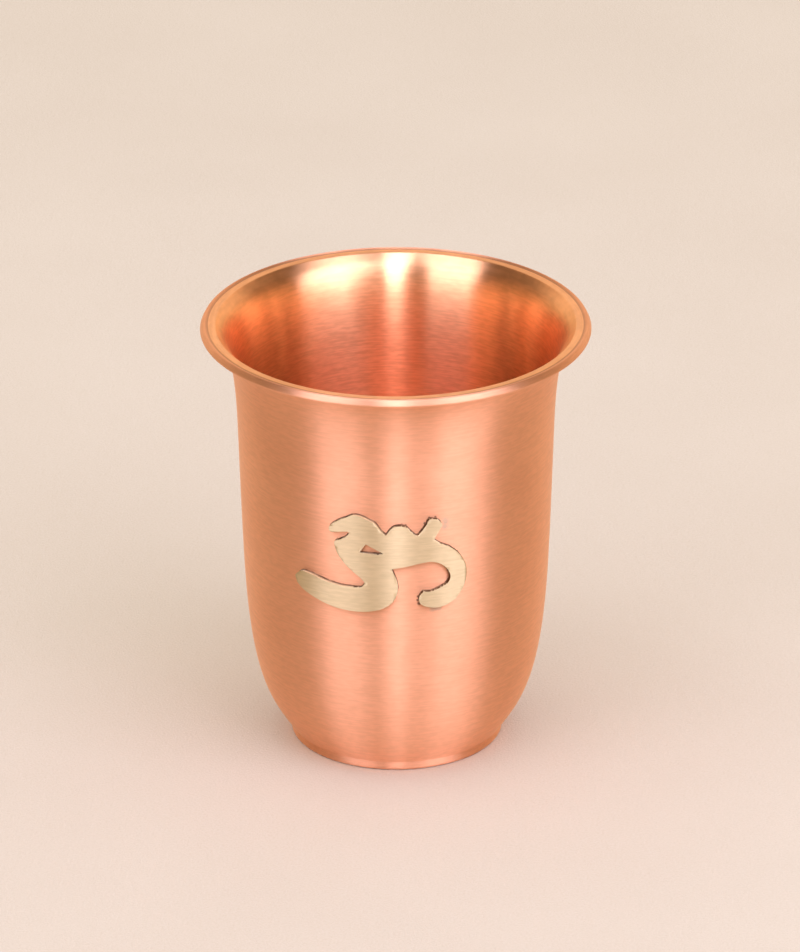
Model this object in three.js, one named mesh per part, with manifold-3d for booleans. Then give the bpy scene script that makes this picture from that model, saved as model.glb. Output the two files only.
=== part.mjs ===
// A spun copper drinking cup with a flared lip and a brass Om sign soldered to its wall.
// Millimetres, +Z up. The origin is the centre of the standing ring, and the sign faces -Y.
import * as THREE from "three";
import { mergeVertices } from "three/addons/utils/BufferGeometryUtils.js";
import Module from "manifold-3d";

// Cup: driving dimensions. Radii are outside ones, and a lean is in degrees outwards from upright.
const HEIGHT = 93.6; // floor to the top of the lip
const LIP_RADIUS = 41; // outermost point of the lip
const LIP_THICKNESS = 1.5; // the lip's rolled edge
const LIP_WIDTH = 3.2; // the lip's flat ring, from its inner corner to its outermost point
const LIP_EASING = 0.6; // how far from that corner its rounding starts
const WALL = 0.9; // sheet, after spinning
const FLARE_HEIGHT = 22; // from the neck up to the underside of the lip
const FLARE_LEAN = 45; // where the flare meets the lip
const NECK_RADIUS = 33.3; // where the flare starts
const NECK_LEAN = 1.9;
const BOWL_HEIGHT = 40; // floor to the top of the rounded bowl
const WAIST_RADIUS = 32.2; // at the top of the rounded bowl
const WAIST_LEAN = 2.7;
const BOWL_LEAN = 34; // just above the foot
const FOOT_RADIUS = 22.4;
const FOOT_HEIGHT = 2;
const FOOT_ROUNDING = 0.8; // radius of the foot's lower edge
const RING_WIDTH = 3; // flat ring that the cup stands on
const BASE_RISE = 1.2; // how far the base is pressed up inside the ring
const BASE_STEP = 2.4; // width of the slope between the ring and the raised base

// How long a curve holds its direction at its lower and upper end, as shares of its height.
const BOWL_HOLD = [0.21, 0.73];
const TAPER_HOLD = [0.33, 0.33];
const FLARE_HOLD = [0.43, 0.2];

// Brass sign: driving dimensions
const SIGN_THICKNESS = 0.8;
const SOLDER_FILM = 0.12; // the sign's clearance from the wall
const SIGN_HEIGHT = 53; // floor to the middle of the sign
const SIGN_WIDTH = 37.2; // along the wall
const SIGN_DRAWN_WIDTH = 37.2; // the width at which the outline below is drawn
const SIGN_MARGIN = 2; // how far the ring that the sign is cut from stands past it, above and below

// Fineness
const AROUND = 72; // facets round the cup
const BOWL_STEPS = 9;
const TAPER_STEPS = 4;
const FLARE_STEPS = 9;
const EASING_STEPS = 3;
const FOOT_STEPS = 4;
const LIP_STEPS = 8;
const RING_ROWS = 16;
const OUTLINE_STEPS = 3; // steps between two points of the sign's outline

const wasm = await Module();
wasm.setup();

function solidFrom(geometry) {
  const bare = new THREE.BufferGeometry();
  bare.setAttribute("position", geometry.getAttribute("position"));
  if (geometry.index) bare.setIndex(geometry.index);
  const merged = mergeVertices(bare, 1e-4);
  return new wasm.Manifold(
    new wasm.Mesh({
      numProp: 3,
      vertProperties: merged.attributes.position.array,
      triVerts: new Uint32Array(merged.index.array),
    }),
  );
}

function geometryFrom(solid) {
  const mesh = solid.getMesh();
  const geometry = new THREE.BufferGeometry();
  geometry.setAttribute("position", new THREE.BufferAttribute(mesh.vertProperties, 3));
  geometry.setIndex(new THREE.BufferAttribute(mesh.triVerts, 1));
  const flat = geometry.toNonIndexed();
  flat.computeVertexNormals();
  return flat;
}

const point = (x, y) => new THREE.Vector2(x, y);

// Turns a profile of (radius, height) points about Z.
function revolve(profile) {
  return new THREE.LatheGeometry(profile, AROUND).rotateX(Math.PI / 2);
}

// The point that lies at a distance from another one, up a lean.
function upLean(from, lean, distance) {
  const angle = THREE.MathUtils.degToRad(lean);
  return point(from.x + distance * Math.sin(angle), from.y + distance * Math.cos(angle));
}

// A stretch of wall between two points, with its lean at each.
function stretch(low, lowLean, high, highLean, hold, steps) {
  const rise = high.y - low.y;
  const lowHandle = upLean(low, lowLean, hold[0] * rise);
  const highHandle = upLean(high, highLean, -hold[1] * rise);
  return new THREE.CubicBezierCurve(low, lowHandle, highHandle, high).getPoints(steps);
}

// A rounded corner between two points.
function eased(from, corner, to) {
  return new THREE.QuadraticBezierCurve(from, corner, to).getPoints(EASING_STEPS);
}

function arc(centre, radius, from, to, steps) {
  return new THREE.EllipseCurve(centre.x, centre.y, radius, radius, from, to, false).getPoints(steps);
}

// Moves a line of points inwards by the sheet's thickness, square to itself.
function innerSide(line) {
  return line.map((p, i) => {
    const before = line[Math.max(i - 1, 0)];
    const after = line[Math.min(i + 1, line.length - 1)];
    const along = after.clone().sub(before).setLength(WALL);
    return point(p.x - along.y, p.y + along.x);
  });
}

// Joins lines of points and drops a point that repeats the one before it.
function joined(...lines) {
  const all = lines.flat();
  return all.filter((p, i) => i === 0 || p.distanceTo(all[i - 1]) > 1e-3);
}

// The outside of the wall from the foot to the lip: a rounded bowl, a slow taper and the flare.
const underLip = HEIGHT - LIP_THICKNESS;
const lipCorner = point(LIP_RADIUS - LIP_WIDTH, underLip);
const foot = point(FOOT_RADIUS, FOOT_HEIGHT);
const waist = point(WAIST_RADIUS, BOWL_HEIGHT);
const neck = point(NECK_RADIUS, underLip - FLARE_HEIGHT);
const flareTop = upLean(lipCorner, FLARE_LEAN, -LIP_EASING);
const outside = joined(
  stretch(foot, BOWL_LEAN, waist, WAIST_LEAN, BOWL_HOLD, BOWL_STEPS),
  stretch(waist, WAIST_LEAN, neck, NECK_LEAN, TAPER_HOLD, TAPER_STEPS),
  stretch(neck, NECK_LEAN, flareTop, FLARE_LEAN, FLARE_HOLD, FLARE_STEPS),
);

function lipProfile(insideTop) {
  const halfThickness = LIP_THICKNESS / 2;
  const middle = point(LIP_RADIUS - halfThickness, HEIGHT - halfThickness);
  const round = arc(middle, halfThickness, -Math.PI / 2, Math.PI / 2, LIP_STEPS);
  // The flare's inside runs on up its lean until it meets the top of the lip.
  const lean = THREE.MathUtils.degToRad(FLARE_LEAN);
  const run = (HEIGHT - insideTop.y) / Math.cos(lean);
  const topCorner = upLean(insideTop, FLARE_LEAN, run);
  const easing = Math.min(LIP_EASING, run / 2);
  return joined(
    eased(flareTop, lipCorner, point(lipCorner.x + LIP_EASING, underLip)),
    round,
    eased(point(topCorner.x + easing, HEIGHT), topCorner, upLean(topCorner, FLARE_LEAN, -easing)),
  );
}

function cupProfile() {
  const inside = innerSide(outside).reverse();
  const ringOuter = FOOT_RADIUS - FOOT_ROUNDING;
  const ringInner = ringOuter - RING_WIDTH;
  const baseRadius = ringInner - BASE_STEP;
  const floorTop = BASE_RISE + WALL;
  const under = [point(0, BASE_RISE), point(baseRadius, BASE_RISE), point(ringInner, 0)];
  const footEdge = arc(point(ringOuter, FOOT_ROUNDING), FOOT_ROUNDING, -Math.PI / 2, 0, FOOT_STEPS);
  const floorEdge = eased(
    inside[inside.length - 1],
    point(FOOT_RADIUS - WALL, WALL),
    point((ringInner + ringOuter) / 2, WALL),
  );
  const floor = [point(ringInner, WALL), point(baseRadius, floorTop), point(0, floorTop)];
  return joined(under, footEdge, outside, lipProfile(inside[0]), inside, floorEdge, floor);
}

// The sign's outline, drawn flat in millimetres about its own middle, x along the wall and y up.
// Each entry is a stretch: "curve" runs smoothly through its points, "line" is straight.
const SIGN_OUTLINE = [
  ["curve", [-18.6, -5.6], [-17.8, -4.7], [-16.7, -4.1], [-14.0, -4.4], [-11.2, -5.1], [-7.9, -5.6]],
  ["curve", [-5.3, -5.6], [-3.7, -5.5]],
  ["curve", [-3.2, -5.2], [-2.8, -4.6], [-2.8, -4.1]],
  ["curve", [-3.6, -3.2], [-4.7, -2.3], [-6.7, -0.5], [-8.2, 1.5], [-8.9, 3.2], [-9.1, 4.4]],
  ["line", [-9.0, 4.6]],
  ["curve", [-7.4, 5.4], [-6.3, 6.2], [-5.9, 6.8]],
  ["curve", [-5.9, 7.1], [-6.1, 7.2], [-6.4, 7.2]],
  ["line", [-9.6, 6.6]],
  ["curve", [-10.0, 6.8], [-10.2, 7.3], [-10.0, 8.0], [-9.1, 8.9], [-7.9, 9.7], [-6.5, 10.4], [-5.4, 11.1]],
  ["curve", [-4.4, 11.2], [-3.4, 11.0], [-1.8, 10.3], [-0.5, 9.5], [0.6, 8.0], [1.2, 7.3]],
  ["curve", [1.6, 7.0], [2.0, 7.3]],
  ["curve", [2.5, 8.2], [3.3, 8.9], [4.6, 9.1], [5.8, 8.8], [6.6, 8.0], [7.4, 7.1]],
  ["curve", [7.9, 6.8], [8.4, 7.0]],
  ["line", [10.0, 9.3]],
  ["curve", [10.2, 10.0], [10.7, 10.4], [11.3, 10.4]],
  ["line", [12.2, 10.2]],
  ["curve", [12.9, 9.5], [13.2, 8.7]],
  ["line", [11.5, 5.6]],
  ["curve", [12.9, 4.5], [15.2, 3.2], [16.9, 1.5], [18.3, -0.9], [18.6, -3.8], [17.9, -6.5], [16.2, -8.9]],
  ["curve", [14.2, -10.0], [11.9, -10.3], [9.7, -9.8], [8.7, -9.0], [8.4, -7.9], [8.7, -7.1], [9.4, -6.3]],
  ["curve", [11.0, -6.4], [13.0, -5.7], [14.4, -4.9], [15.0, -3.7], [14.8, -2.4], [13.8, -0.9], [12.6, 0.0]],
  ["curve", [10.9, 0.5], [8.7, 0.3], [6.0, -0.3], [2.8, -0.9]],
  ["curve", [3.3, -2.2], [4.0, -4.0], [4.1, -5.9], [3.5, -7.8], [2.2, -9.4], [0.2, -10.5]],
  ["curve", [-2.6, -11.1], [-6.0, -11.2], [-9.5, -10.8], [-13.2, -9.8], [-16.5, -8.4], [-18.1, -7.1]],
  ["line", [-18.6, -5.6]],
];
// The window's corners run the other way round from the outline.
const SIGN_WINDOW = [[0.1, 2.4], [1.2, 2.7], [-2.4, 4.7], [-3.8, 2.6]];

const signScale = SIGN_WIDTH / SIGN_DRAWN_WIDTH;
const onSign = ([x, y]) => point(x * signScale, y * signScale);

function signShape() {
  const drawn = new THREE.Path();
  const [, first, ...more] = SIGN_OUTLINE[0];
  drawn.moveTo(...onSign(first).toArray());
  drawn.splineThru(more.map(onSign));
  for (const [kind, ...points] of SIGN_OUTLINE.slice(1)) {
    if (kind === "line") drawn.lineTo(...onSign(points[0]).toArray());
    else drawn.splineThru(points.map(onSign));
  }
  // The last stretch ends where the first began, so that point is left out.
  const shape = new THREE.Shape(drawn.getPoints(OUTLINE_STEPS).slice(0, -1));
  shape.holes.push(new THREE.Path(SIGN_WINDOW.map(onSign)));
  return shape;
}

// Where the wall's outside is at a height, between two points of its profile.
function wallRadius(height) {
  const i = outside.findIndex((p) => p.y >= height);
  const [low, high] = [outside[i - 1], outside[i]];
  return low.x + ((high.x - low.x) * (height - low.y)) / (high.y - low.y);
}

// A ring of the sign's sheet that follows the wall at the solder film's distance.
function signRing(reach) {
  const line = (out) =>
    Array.from({ length: RING_ROWS + 1 }, (_, i) => {
      const height = SIGN_HEIGHT - reach + (2 * reach * i) / RING_ROWS;
      return point(wallRadius(height) + out, height);
    });
  const outer = line(SOLDER_FILM + SIGN_THICKNESS);
  const inner = line(SOLDER_FILM).reverse();
  return solidFrom(revolve([...outer, ...inner, outer[0]]));
}

// The flat outline becomes a block whose sides run straight out from the cup's axis.
function signBlock() {
  const middleRadius = wallRadius(SIGN_HEIGHT);
  const near = middleRadius / 2;
  const block = new THREE.ExtrudeGeometry(signShape(), { depth: middleRadius, bevelEnabled: false });
  const place = block.getAttribute("position");
  for (let i = 0; i < place.count; i++) {
    const turn = place.getX(i) / middleRadius;
    const radius = near + place.getZ(i);
    const height = SIGN_HEIGHT + place.getY(i);
    place.setXYZ(i, radius * Math.sin(turn), -radius * Math.cos(turn), height);
  }
  return solidFrom(block);
}

function signGeometry() {
  const heights = SIGN_OUTLINE.flatMap(([, ...points]) => points.map(([, y]) => Math.abs(y)));
  const reach = SIGN_MARGIN + signScale * Math.max(...heights);
  return geometryFrom(signRing(reach).intersect(signBlock()));
}

const copper = new THREE.MeshStandardMaterial({ color: 0xd9895c, roughness: 0.3, metalness: 1 });
const brass = new THREE.MeshStandardMaterial({ color: 0xd8c08c, roughness: 0.35, metalness: 1 });

const cupBody = new THREE.Mesh(revolve(cupProfile()), copper);
cupBody.name = "cup_body";

const omSign = new THREE.Mesh(signGeometry(), brass);
omSign.name = "om_sign";

const cup = new THREE.Group();
cup.add(cupBody, omSign);

export default cup;
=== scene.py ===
"""A spun copper cup with a flared lip and a brass Om sign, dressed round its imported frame."""

import logging
import math
from dataclasses import dataclass, field
from enum import Enum

import bmesh
import bpy
from mathutils import Matrix, Vector

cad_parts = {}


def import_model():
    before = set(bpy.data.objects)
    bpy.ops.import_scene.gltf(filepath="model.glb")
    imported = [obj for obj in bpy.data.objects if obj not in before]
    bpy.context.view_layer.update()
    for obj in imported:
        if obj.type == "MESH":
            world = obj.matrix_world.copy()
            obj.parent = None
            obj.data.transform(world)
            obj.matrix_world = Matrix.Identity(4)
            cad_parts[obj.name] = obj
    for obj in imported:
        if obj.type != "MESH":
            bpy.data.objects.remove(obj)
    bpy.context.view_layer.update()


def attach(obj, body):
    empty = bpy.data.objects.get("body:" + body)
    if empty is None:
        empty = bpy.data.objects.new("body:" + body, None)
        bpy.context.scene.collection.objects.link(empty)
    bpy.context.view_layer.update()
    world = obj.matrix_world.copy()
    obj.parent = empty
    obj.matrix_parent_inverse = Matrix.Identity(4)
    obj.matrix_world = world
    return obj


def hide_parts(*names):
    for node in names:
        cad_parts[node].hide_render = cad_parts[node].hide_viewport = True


MM = 0.001
Point = tuple[float, float]
Place = tuple[float, float, float]
Colour = tuple[float, float, float]
Socket = bpy.types.NodeSocket
Sockets = bpy.types.bpy_prop_collection
Feed = Socket | float | str | tuple
log = logging.getLogger("copper_cup")

FLOAT, INTEGER, VECTOR = "NodeSocketFloat", "NodeSocketInt", "NodeSocketVector"
GEOMETRY, MATERIAL = "NodeSocketGeometry", "NodeSocketMaterial"


class Slot(Enum):
    """The record's material slots."""

    COPPER = "copper"
    BRASS = "brass"


class Run(Enum):
    """How one run of the sign's edge goes from point to point."""

    CURVE = "curve"
    LINE = "line"


class Use(Enum):
    """What a lamp does: the metals mirror its glow, and its spill falls on the cloth."""

    GLOW = "glow"
    SPILL = "spill"


# Node graphs


def of_type(sockets: Sockets, kind: str) -> list[Socket]:
    """Picks the sockets of one type, in their order."""
    return [s for s in sockets if s.type == kind]


@dataclass
class Graph:
    """A thin helper that adds nodes to a tree and wires them."""

    tree: bpy.types.NodeTree

    def feed(self, socket: Socket, value: Feed) -> None:
        """Wires a socket, or sets it where the value is plain.

        Args:
            socket: The input to feed.
            value: Another node's output, or a plain value.
        """
        if isinstance(value, Socket):
            self.tree.links.new(value, socket)
        else:
            socket.default_value = value

    def add(
        self, kind: str, feeds: dict[str | int, Feed] | None = None, **settings: object,
    ) -> bpy.types.Node:
        """Adds a node.

        Args:
            kind: The node's type name.
            feeds: What goes into its inputs, by their names or numbers.
            **settings: Properties to set on it first.

        Returns:
            The new node.
        """
        node = self.tree.nodes.new(kind)
        for name, value in settings.items():
            setattr(node, name, value)
        for label, value in (feeds or {}).items():
            self.feed(node.inputs[label], value)
        return node

    def result(
        self, kind: str, feeds: dict[str | int, Feed] | None = None, **settings: object,
    ) -> Socket:
        """Adds a node whose first output is all that is wanted.

        Args:
            kind: The node's type name.
            feeds: What goes into its inputs, by their names or numbers.
            **settings: Properties to set on it first.

        Returns:
            The node's first output.
        """
        return self.add(kind, feeds, **settings).outputs[0]

    def math(self, kind: str, *values: Feed) -> Socket:
        """Adds a Math node.

        Args:
            kind: The node's operation.
            *values: A socket or a number for each input.

        Returns:
            The node's output.
        """
        return self.result("ShaderNodeMath", dict(enumerate(values)), operation=kind)

    def vector(self, kind: str, *values: Feed) -> Sockets:
        """Adds a Vector Math node.

        Args:
            kind: The node's operation.
            *values: A socket or three numbers for each input.

        Returns:
            The node's outputs, Vector and Value.
        """
        feeds = dict(enumerate(values))
        return self.add("ShaderNodeVectorMath", feeds, operation=kind).outputs

    def scaled(self, vector: Feed, factor: Feed) -> Socket:
        """Multiplies a vector or a colour by a number."""
        feeds = {"Vector": vector, "Scale": factor}
        return self.result("ShaderNodeVectorMath", feeds, operation="SCALE")

    def combine(self, x: Feed, y: Feed, z: Feed) -> Socket:
        """Makes a vector from three sockets or numbers."""
        return self.result("ShaderNodeCombineXYZ", {"X": x, "Y": y, "Z": z})

    def split(self, vector: Socket) -> Sockets:
        """Splits a vector into its X, Y and Z."""
        return self.add("ShaderNodeSeparateXYZ", {0: vector}).outputs

    def place(self) -> Socket:
        """Gives each point's place in the object's own coordinates."""
        return self.add("ShaderNodeTexCoord").outputs["Object"]

    def mask(self, name: str) -> Socket:
        """Reads a mask that is stored on the mesh."""
        return self.add("ShaderNodeAttribute", attribute_name=name).outputs["Fac"]

    def spread(self, value: Socket, span: Point, becomes: Point = (0.0, 1.0)) -> Socket:
        """Maps a number from one span to another and holds it at the ends.

        Args:
            value: The number's socket.
            span: Where the number's own span starts and ends.
            becomes: What the number becomes at the start and at the end.

        Returns:
            The mapped number.
        """
        return self.result("ShaderNodeMapRange", {
            "Value": value,
            "From Min": span[0], "From Max": span[1], "To Min": becomes[0], "To Max": becomes[1],
        })

    def between(self, mask: Socket, off: float, on: float) -> Socket:
        """Goes from one number to another as a mask goes from 0 to 1."""
        return self.spread(mask, (0.0, 1.0), (off, on))

    def blend(self, factor: Socket, off: Feed, on: Feed) -> Socket:
        """Mixes two colours.

        Args:
            factor: The mask that mixes them.
            off: The colour where the mask is 0, as a socket or three numbers.
            on: The colour where it is 1.

        Returns:
            The mixed colour.
        """
        node = self.add("ShaderNodeMix", {"Factor": factor}, data_type="RGBA")
        for socket, colour in zip(of_type(node.inputs, "RGBA"), (off, on)):
            self.feed(socket, (*colour, 1.0) if isinstance(colour, tuple) else colour)
        return of_type(node.outputs, "RGBA")[0]

    def noise(self, where: Socket, scale: float, detail: float, roughness: float = 0.5) -> Socket:
        """Adds a Noise Texture.

        Args:
            where: The vector that it reads.
            scale: Its scale.
            detail: How many finer layers it adds.
            roughness: How strong those are.

        Returns:
            A number of about 0 to 1.
        """
        return self.result("ShaderNodeTexNoise", {
            "Vector": where, "Scale": scale, "Detail": detail, "Roughness": roughness,
        })

    def relief(self, height: Socket, depth: float) -> Socket:
        """Adds a bump and gives its normal.

        Args:
            height: The height, about 0 to 1.
            depth: How deep it is, in metres.

        Returns:
            The bent normal.
        """
        return self.result("ShaderNodeBump", {"Height": height, "Distance": depth})

    def group(self, shared: bpy.types.NodeTree, feeds: dict[str, Feed]) -> Sockets:
        """Adds a shared shader group and gives its outputs."""
        return self.add("ShaderNodeGroup", feeds, node_tree=shared).outputs


def new_group(
    name: str, kind: str, inputs: dict[str, str], outputs: dict[str, str],
) -> tuple[Graph, Sockets, Sockets]:
    """Makes a node group with named sockets.

    Args:
        name: What the group is called.
        kind: The tree's type, for shaders or for geometry.
        inputs: Each input, with its socket type.
        outputs: Each output, with its socket type.

    Returns:
        A graph over the group, the sockets that bring its inputs and those that take its outputs.
    """
    tree = bpy.data.node_groups.new(name, kind)
    for label, socket in inputs.items():
        tree.interface.new_socket(label, in_out="INPUT", socket_type=socket)
    for label, socket in outputs.items():
        tree.interface.new_socket(label, in_out="OUTPUT", socket_type=socket)
    graph = Graph(tree)
    return graph, graph.add("NodeGroupInput").outputs, graph.add("NodeGroupOutput").inputs


def new_material(name: str) -> tuple[bpy.types.Material, Graph, bpy.types.Node]:
    """Makes a node material.

    Args:
        name: What it is called.

    Returns:
        The material, a graph over it and its Principled node.
    """
    made = bpy.data.materials.new(name)
    made.use_nodes = True
    return made, Graph(made.node_tree), made.node_tree.nodes["Principled BSDF"]


# Shared shader effects


@dataclass(frozen=True)
class Brushing:
    """The brushing that runs round the cup's axis: fine and coarse streaks, a cloud and a grain.

    A streak keeps to one row of the wall, which the height and the radius tell together. The
    coarse streaks are the fine ones drawn again elsewhere, with more breaks and wider rows.
    """

    radius_share: float = 0.6
    coarse_breaks: float = 3.1
    coarse_rows: float = 0.57
    coarse_shift: Point = (7.3, 2.9)
    cloud_scale: float = 60.0
    cloud_layers: float = 2.0
    grain_scale: float = 2400.0

    def group(self) -> bpy.types.NodeTree:
        """Builds the shared group.

        Returns:
            A group with Streaks, Cloud and Grain outputs, each about 0 to 1.
        """
        graph, start, end = new_group(
            "Brushed round the axis", "ShaderNodeTree",
            {"Lines per metre": FLOAT, "Breaks": FLOAT},
            {"Streaks": FLOAT, "Cloud": FLOAT, "Grain": FLOAT},
        )
        where = graph.place()
        place = graph.split(where)
        level = graph.combine(place["X"], place["Y"], 0.0)
        radius = graph.vector("LENGTH", level)["Value"]
        radial = graph.math("MULTIPLY", radius, self.radius_share)
        across = graph.math("SUBTRACT", place["Z"], radial)
        row = graph.math("MULTIPLY", across, start["Lines per metre"])
        turned = graph.scaled(graph.vector("NORMALIZE", level)["Vector"], start["Breaks"])
        fine_at = graph.vector("ADD", turned, graph.combine(0.0, 0.0, row))["Vector"]
        coarse_row = graph.math("MULTIPLY", row, self.coarse_rows)
        shift = graph.combine(*self.coarse_shift, coarse_row)
        coarse_at = graph.vector("ADD", graph.scaled(turned, self.coarse_breaks), shift)["Vector"]
        fine, coarse = graph.noise(fine_at, 1.0, 1.0), graph.noise(coarse_at, 1.0, 1.0)
        graph.feed(end["Streaks"], graph.math("MULTIPLY", graph.math("ADD", fine, coarse), 0.5))
        graph.feed(end["Cloud"], graph.noise(where, self.cloud_scale, self.cloud_layers))
        graph.feed(end["Grain"], graph.noise(where, self.grain_scale, 1.0))
        return graph.tree


@dataclass(frozen=True)
class RaggedSpot:
    """A soft spot about a place, with a ragged edge that fades over a span of its radius."""

    scale: float = 900.0
    layers: float = 3.0
    fade: Point = (0.35, 1.0)

    def group(self) -> bpy.types.NodeTree:
        """Builds the shared group.

        Returns:
            A group with a Mask output, 1 in the middle and 0 outside.
        """
        graph, start, end = new_group(
            "Ragged spot", "ShaderNodeTree", {"Centre": VECTOR, "Radius": FLOAT}, {"Mask": FLOAT},
        )
        where = graph.place()
        away = graph.vector("DISTANCE", where, start["Centre"])["Value"]
        share = graph.math("DIVIDE", away, start["Radius"])
        frayed = graph.math("SUBTRACT", graph.noise(where, self.scale, self.layers), 0.5)
        ragged = graph.math("ADD", share, frayed)
        graph.feed(end["Mask"], graph.spread(ragged, self.fade, (1.0, 0.0)))
        return graph.tree


# Finishes


@dataclass(frozen=True)
class Spot:
    """A stain that soldering left: where it is, how big, how strong, and its colour."""

    centre: Place
    radius: float
    strength: float
    colour: Colour


@dataclass(frozen=True)
class BrushedMetal:
    """One brushed metal: its colours, how the streaks change them, and how it shines.

    The colour wanders between pale and deep. The mesh's polish mask says where the metal is
    polished, as inside the cup: there it is smoother, without relief, and tinted by bare. The
    mesh's other mask darkens it: with painted shade in the crease of the cup's lip, and with
    tarnished metal together with painted shade on the sawn sides and back of the sign. A mesh
    that lacks a mask has none of that. The contrasts are the shares by which streaks change the
    colour, and relief is their depth in metres.
    """

    name: str
    pale: Colour
    deep: Colour
    shade_and_tarnish_colour: Colour
    anisotropy: float
    polished: float
    bare: Colour = (1.0, 1.0, 1.0)
    roughness: float = 0.47
    roughness_wander: float = 0.015
    contrast: float = 0.035
    bare_contrast: float = 0.063
    relief: float = 0.0000025
    streak_relief: float = 1.6
    grain_relief: float = 0.35
    lines: float = 3200.0
    breaks: float = 5.0
    tone_span: Point = (0.3, 0.7)
    streak_span: Point = (0.39, 0.61)
    groove_turn: float = 0.25
    stain_roughness: float = 0.15

    def lined(self, graph: Graph, marks: Sockets, polish: Socket) -> Socket:
        """Makes the metal's own colour, before the painted shade, the tarnished darkening and the
        stains.

        Args:
            graph: The material's graph.
            marks: The outputs of the brushing.
            polish: The mask of the polished parts.

        Returns:
            The colour.
        """
        tone = graph.math("MULTIPLY", graph.math("ADD", marks["Streaks"], marks["Cloud"]), 0.5)
        film = graph.blend(graph.spread(tone, self.tone_span), self.deep, self.pale)
        colour = graph.blend(polish, film, graph.vector("MULTIPLY", film, self.bare)["Vector"])
        side = graph.spread(marks["Streaks"], self.streak_span, (-1.0, 1.0))
        swing = graph.between(polish, self.contrast, self.bare_contrast)
        return graph.scaled(colour, graph.math("ADD", graph.math("MULTIPLY", side, swing), 1.0))

    def normal(self, graph: Graph, marks: Sockets, polish: Socket) -> Socket:
        """Makes the relief of the streaks and the grain, which the polished parts lack.

        Args:
            graph: The material's graph.
            marks: The outputs of the brushing.
            polish: The mask of the polished parts.

        Returns:
            The bent normal.
        """
        streaks, grain = (
            graph.math("MULTIPLY", marks[mark], graph.between(polish, share, 0.0))
            for mark, share in (("Streaks", self.streak_relief), ("Grain", self.grain_relief))
        )
        return graph.relief(graph.math("ADD", streaks, grain), self.relief)

    def material(
        self, brushing: bpy.types.NodeTree, spotting: bpy.types.NodeTree,
        spots: tuple[Spot, ...] = (),
    ) -> bpy.types.Material:
        """Makes the material.

        Args:
            brushing: The shared brushing group.
            spotting: The shared group for stains.
            spots: The stains on this metal.

        Returns:
            A node material with colour, roughness and relief from the brushing.
        """
        made, graph, shader = new_material(self.name)
        shader.inputs["Metallic"].default_value = 1.0
        shader.inputs["Anisotropic"].default_value = self.anisotropy
        shader.inputs["Anisotropic Rotation"].default_value = self.groove_turn
        tangent = graph.result("ShaderNodeTangent", direction_type="UV_MAP")
        marks = graph.group(brushing, {"Lines per metre": self.lines, "Breaks": self.breaks})
        polish = graph.mask("polish")
        # Painted shade: the mask darkens the crease of the cup's lip, and, together with tarnished
        # metal, the sign's sawn sides and back.
        colour = graph.blend(
            graph.mask("shade_and_tarnish_mask"), self.lined(graph, marks, polish), self.shade_and_tarnish_colour,
        )
        wander = (-self.roughness_wander, self.roughness_wander)
        rough = graph.math(
            "ADD", graph.between(polish, self.roughness, self.polished),
            graph.spread(marks["Streaks"], self.tone_span, wander),
        )
        for spot in spots:
            mask = graph.group(spotting, {"Centre": spot.centre, "Radius": spot.radius})["Mask"]
            mask = graph.math("MULTIPLY", mask, spot.strength)
            colour = graph.blend(mask, colour, spot.colour)
            rough = graph.math("ADD", rough, graph.math("MULTIPLY", mask, self.stain_roughness))
        graph.feed(shader.inputs["Tangent"], tangent)
        graph.feed(shader.inputs["Base Color"], colour)
        graph.feed(shader.inputs["Roughness"], rough)
        graph.feed(shader.inputs["Normal"], self.normal(graph, marks, polish))
        return made


@dataclass(frozen=True)
class SolderAndGapShade:
    """Matt solder, darkened in patches by old flux and kept dark brown all over as painted shade
    for the gap along the sign's edges. Relief is its depth in metres.
    """

    name: str = "Solder and gap shade"
    pale: Colour = (0.38, 0.22, 0.11)
    dark: Colour = (0.12, 0.05, 0.02)
    metallic: float = 0.6
    roughness: Point = (0.75, 0.5)
    relief: float = 0.00002
    patch_scale: float = 1100.0
    patch_layers: float = 3.0
    patch_roughness: float = 0.6
    colour_span: Point = (0.4, 0.65)
    roughness_span: Point = (0.3, 0.7)

    def material(self) -> bpy.types.Material:
        """Makes the material.

        Returns:
            A node material with patches of colour, roughness and relief.
        """
        made, graph, shader = new_material(self.name)
        shader.inputs["Metallic"].default_value = self.metallic
        patches = graph.noise(
            graph.place(), self.patch_scale, self.patch_layers, self.patch_roughness,
        )
        colour = graph.blend(graph.spread(patches, self.colour_span), self.dark, self.pale)
        graph.feed(shader.inputs["Base Color"], colour)
        rough = graph.spread(patches, self.roughness_span, self.roughness)
        graph.feed(shader.inputs["Roughness"], rough)
        graph.feed(shader.inputs["Normal"], graph.relief(patches, self.relief))
        return made


@dataclass(frozen=True)
class PaleCloth:
    """The plain pale cloth that the cup stands on. Relief is its depth in metres."""

    name: str = "Pale cloth"
    pale: Colour = (0.50, 0.41, 0.345)
    deep: Colour = (0.46, 0.37, 0.305)
    roughness: float = 0.95
    specular: float = 0.1
    relief: float = 0.00012
    fibre_scale: float = 1900.0
    fibre_roughness: float = 0.7
    fibre_share: float = 0.7
    blotch_scale: float = 14.0
    blotch_share: float = 0.3
    layers: float = 2.0
    tone_span: Point = (0.35, 0.65)

    def material(self) -> bpy.types.Material:
        """Makes the material.

        Returns:
            A node material with fine fibres and broad, slow blotches of darker and lighter tone.
        """
        made, graph, shader = new_material(self.name)
        shader.inputs["Roughness"].default_value = self.roughness
        shader.inputs["Specular IOR Level"].default_value = self.specular
        where = graph.place()
        fibres = graph.noise(where, self.fibre_scale, self.layers, self.fibre_roughness)
        blotches = graph.noise(where, self.blotch_scale, self.layers)
        tone = graph.math(
            "ADD", graph.math("MULTIPLY", fibres, self.fibre_share),
            graph.math("MULTIPLY", blotches, self.blotch_share),
        )
        colour = graph.blend(graph.spread(tone, self.tone_span), self.deep, self.pale)
        graph.feed(shader.inputs["Base Color"], colour)
        graph.feed(shader.inputs["Normal"], graph.relief(fibres, self.relief))
        return made


# The copper's dark colour is painted shade only, laid in the crease of the lip.
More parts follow.
